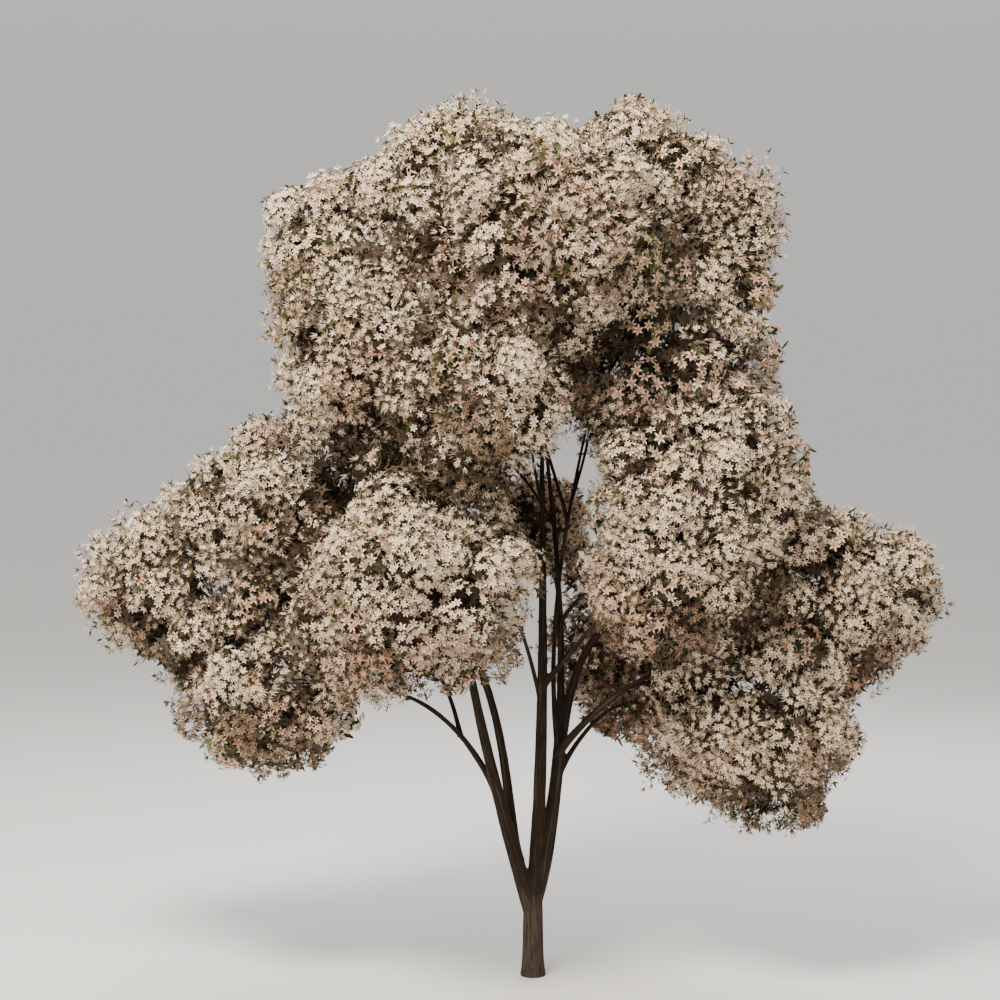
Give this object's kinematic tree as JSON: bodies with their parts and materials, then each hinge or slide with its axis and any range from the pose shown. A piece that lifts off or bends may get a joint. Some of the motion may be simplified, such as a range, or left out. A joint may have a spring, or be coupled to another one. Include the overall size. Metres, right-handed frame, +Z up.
{
  "type": "flowering cherry tree",
  "caption": "Six metre cherry tree in full blossom: short trunk, steep leaders, side boughs and rounded masses of pale blossom.",
  "frame": {"origin": "centre of the flat cut under the trunk, at ground level", "axes": "+Z up the trunk, +X to the right of the front view, +Y away from the front view"},
  "size_m": [6.0438, 3.4579, 6.0649],
  "materials": {
    "bark": "dark brown bark streaked along every limb, paler and greyer on the trunk",
    "blossom": "matt petals, white to blush pink with salmon hearts, among small dark green leaves"
  },
  "bodies": {
    "root": {"trunk": "bark", "leader_centre": "bark", "leader_left": "bark", "leader_back": "bark", "leader_right": "bark", "leader_left_rear": "bark", "leader_slender": "bark", "bough_left": "bark", "bough_left_up": "bark", "bough_left_far": "bark", "bough_right": "bark", "bough_right_far": "bark", "bough_right_rear": "bark", "branch_mid_left": "bark", "branch_mid_right": "bark", "branch_right_up": "bark", "bough_back_low": "bark", "slender_left": "bark", "bough_mid_centre": "bark", "bough_mid_left": "bark", "bough_upper_left": "bark", "bough_back_left": "bark", "bough_mid_right": "bark", "bough_right_shoulder": "bark", "mass_top_left": "blossom", "mass_top_front": "blossom", "mass_top_right": "blossom", "mass_right_shoulder": "blossom", "mass_upper_left": "blossom", "mass_mid_left": "blossom", "mass_mid_centre": "blossom", "mass_mid_right": "blossom", "mass_back_top": "blossom", "mass_back_left": "blossom", "mass_left_front": "blossom", "mass_left_shoulder": "blossom", "mass_left_tip": "blossom", "mass_left_low": "blossom", "mass_left_back": "blossom", "mass_right_top": "blossom", "mass_right_front": "blossom", "mass_right_centre": "blossom", "mass_right_tip": "blossom", "mass_right_low": "blossom", "mass_right_back": "blossom", "mass_back_low": "blossom"}
  },
  "joints": []
}
